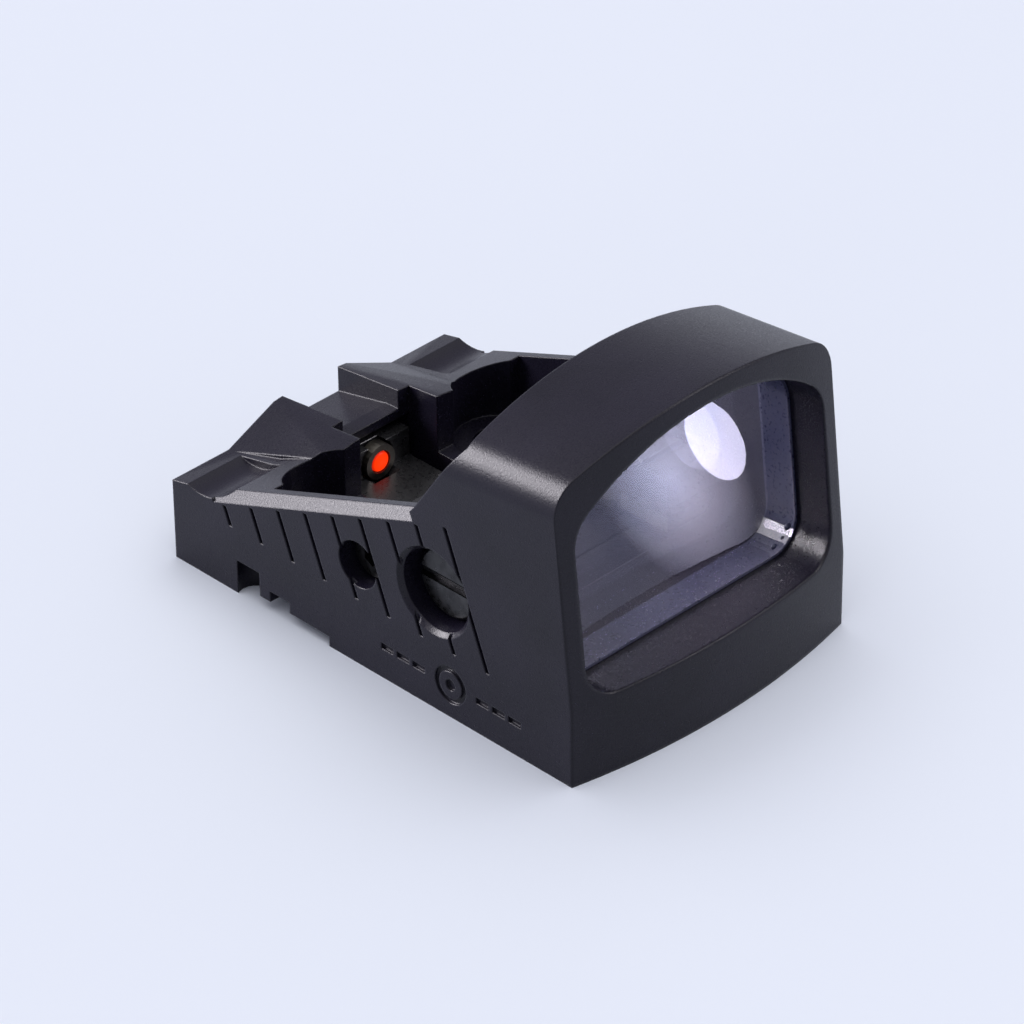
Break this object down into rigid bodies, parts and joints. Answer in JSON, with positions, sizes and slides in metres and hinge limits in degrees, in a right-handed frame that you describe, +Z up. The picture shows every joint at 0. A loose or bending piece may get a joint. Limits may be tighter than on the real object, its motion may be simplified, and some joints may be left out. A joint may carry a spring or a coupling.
{
  "type": "miniature reflex sight",
  "caption": "Compact open reflex (red dot) sight: hooded window, emitter on two screw-driven slides, coin cell under a base cover, two through mounting holes.",
  "frame": {"origin": "middle of the footprint's bounding box, on the plane that the sight stands on", "axes": "+Z up, -Y the way the hooded window looks, +Y towards the rear notch, -X the side with the windage adjuster"},
  "size_m": [0.027, 0.0412, 0.0259],
  "materials": {
    "anodised_aluminium": "fine bead-blasted, black anodised",
    "cover_aluminium": "flat black anodised plate",
    "coated_glass": "polished, semi-mirror coating with a violet cast",
    "optical_adhesive": "glossy black bead",
    "black_steel": "black oxide, turned",
    "bright_steel": "bright spring steel",
    "battery_steel": "nickel-plated, fine grained",
    "nickel_brass": "thin plated, satin",
    "black_moulding": "fine matte moulding",
    "rubber": "matte",
    "circuit_laminate": "green solder resist",
    "polyimide": "amber film",
    "emitter_red": "lit red-orange emitter under clear resin",
    "clear_acrylic": "polished end, frosted side"
  },
  "bodies": {
    "sight_body": {"housing": "anodised_aluminium", "lens_front_element": "coated_glass", "lens_rear_element": "coated_glass", "lens_seal": "optical_adhesive", "windage_spring": "bright_steel", "elevation_spring": "bright_steel", "led_flex_lead": "polyimide", "circuit_board": "circuit_laminate", "control_chip": "black_moulding", "light_sensor": "black_moulding", "sensor_light_pipe": "clear_acrylic", "battery": "battery_steel", "battery_contact_positive": "nickel_brass", "battery_contact_negative": "nickel_brass", "battery_cover": "cover_aluminium", "cover_seal": "rubber", "cover_screw_left": "black_steel", "cover_screw_right": "black_steel"},
    "windage_adjuster": {"windage_screw": "black_steel", "windage_o_ring": "rubber", "windage_clip": "bright_steel"},
    "elevation_adjuster": {"elevation_screw": "black_steel", "elevation_o_ring": "rubber", "elevation_clip": "bright_steel"},
    "windage_carriage": {"windage_slide": "black_moulding"},
    "elevation_carriage": {"elevation_slide": "black_moulding", "led_holder": "nickel_brass", "led_emitter": "emitter_red"},
    "windage_lock": {"windage_lock_screw": "black_steel"},
    "elevation_lock": {"elevation_lock_screw": "black_steel"}
  },
  "joints": [
    {"name": "windage_turn", "type": "hinge", "parent": "sight_body", "child": "windage_adjuster", "pos_m": [0, -0.0058, 0.00965], "axis": [1, 0, 0], "range_deg": [-360, 360]},
    {"name": "windage_travel", "type": "slide", "parent": "sight_body", "child": "windage_carriage", "axis": [1, 0, 0], "range_m": [-0.00035, 0.00035], "deforming": ["windage_spring"]},
    {"name": "elevation_turn", "type": "hinge", "parent": "sight_body", "child": "elevation_adjuster", "pos_m": [0.0094, -0.0058, 0], "axis": [0, 0, 1], "range_deg": [-360, 360]},
    {"name": "elevation_travel", "type": "slide", "parent": "windage_carriage", "child": "elevation_carriage", "axis": [0, 0, 1], "range_m": [-0.00035, 0.00035], "deforming": ["elevation_spring"]},
    {"name": "windage_lock_turn", "type": "hinge", "parent": "sight_body", "child": "windage_lock", "pos_m": [0, 0.0016, 0.0084], "axis": [1, 0, 0], "range_deg": [0, 360]},
    {"name": "elevation_lock_turn", "type": "hinge", "parent": "sight_body", "child": "elevation_lock", "pos_m": [0, 0.0016, 0.0084], "axis": [1, 0, 0], "range_deg": [-360, 0]}
  ],
  "couplings": [
    {"joint": "windage_turn", "follows": "windage_travel", "rad_per_m": 17950},
    {"joint": "elevation_turn", "follows": "elevation_travel", "rad_per_m": 17950}
  ]
}
